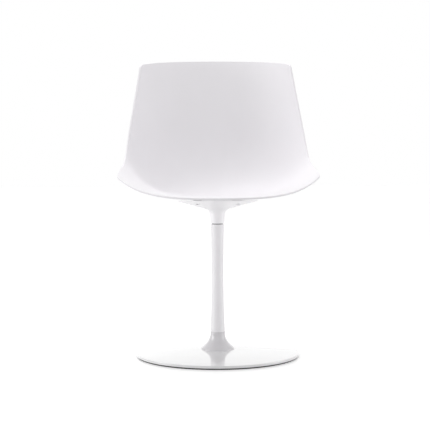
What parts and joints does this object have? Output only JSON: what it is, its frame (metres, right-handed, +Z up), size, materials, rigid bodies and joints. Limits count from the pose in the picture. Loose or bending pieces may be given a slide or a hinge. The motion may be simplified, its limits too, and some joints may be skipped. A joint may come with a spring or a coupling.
{
  "type": "swivel dining chair",
  "caption": "Dining chair with a moulded tub shell that swivels on a slim waisted column over a round, shallow-domed floor disc.",
  "frame": {"origin": "on the floor, on the column's axis", "axes": "+Z up along the column, -Y towards the front of the seat where the sitter faces, +X to the right of a viewer facing the chair's front"},
  "size_m": [0.5282, 0.5238, 0.7994],
  "materials": {
    "shell_plastic": "satin",
    "white_paint": "satin",
    "gloss_paint": "gloss",
    "steel": "satin",
    "insert_brass": "satin",
    "bush_plastic": "matte",
    "pad_plastic": "matte",
    "black_rubber": "matte"
  },
  "bodies": {
    "base": {"column": "white_paint", "upper_bush": "bush_plastic", "lower_bush": "bush_plastic", "column_plug": "steel", "foot_collar": "white_paint", "base_disc": "gloss_paint", "floor_ring": "black_rubber", "tie_washer": "steel", "lock_washer": "steel", "tie_bolt": "steel", "locating_pin": "steel"},
    "seat": {"seat_shell": "shell_plastic", "seat_carrier": "white_paint", "spindle": "steel", "spindle_key": "steel", "spindle_washer": "steel", "spindle_bolt": "steel", "retaining_washer": "steel", "retaining_ring": "steel", "shell_pads": "pad_plastic", "threaded_inserts": "insert_brass", "screw_washers": "steel", "seat_screws": "steel"}
  },
  "joints": [
    {"name": "seat_swivel", "type": "hinge", "parent": "base", "child": "seat", "pos_m": [0, 0, 0.35], "axis": [0, 0, 1], "continuous": true}
  ]
}
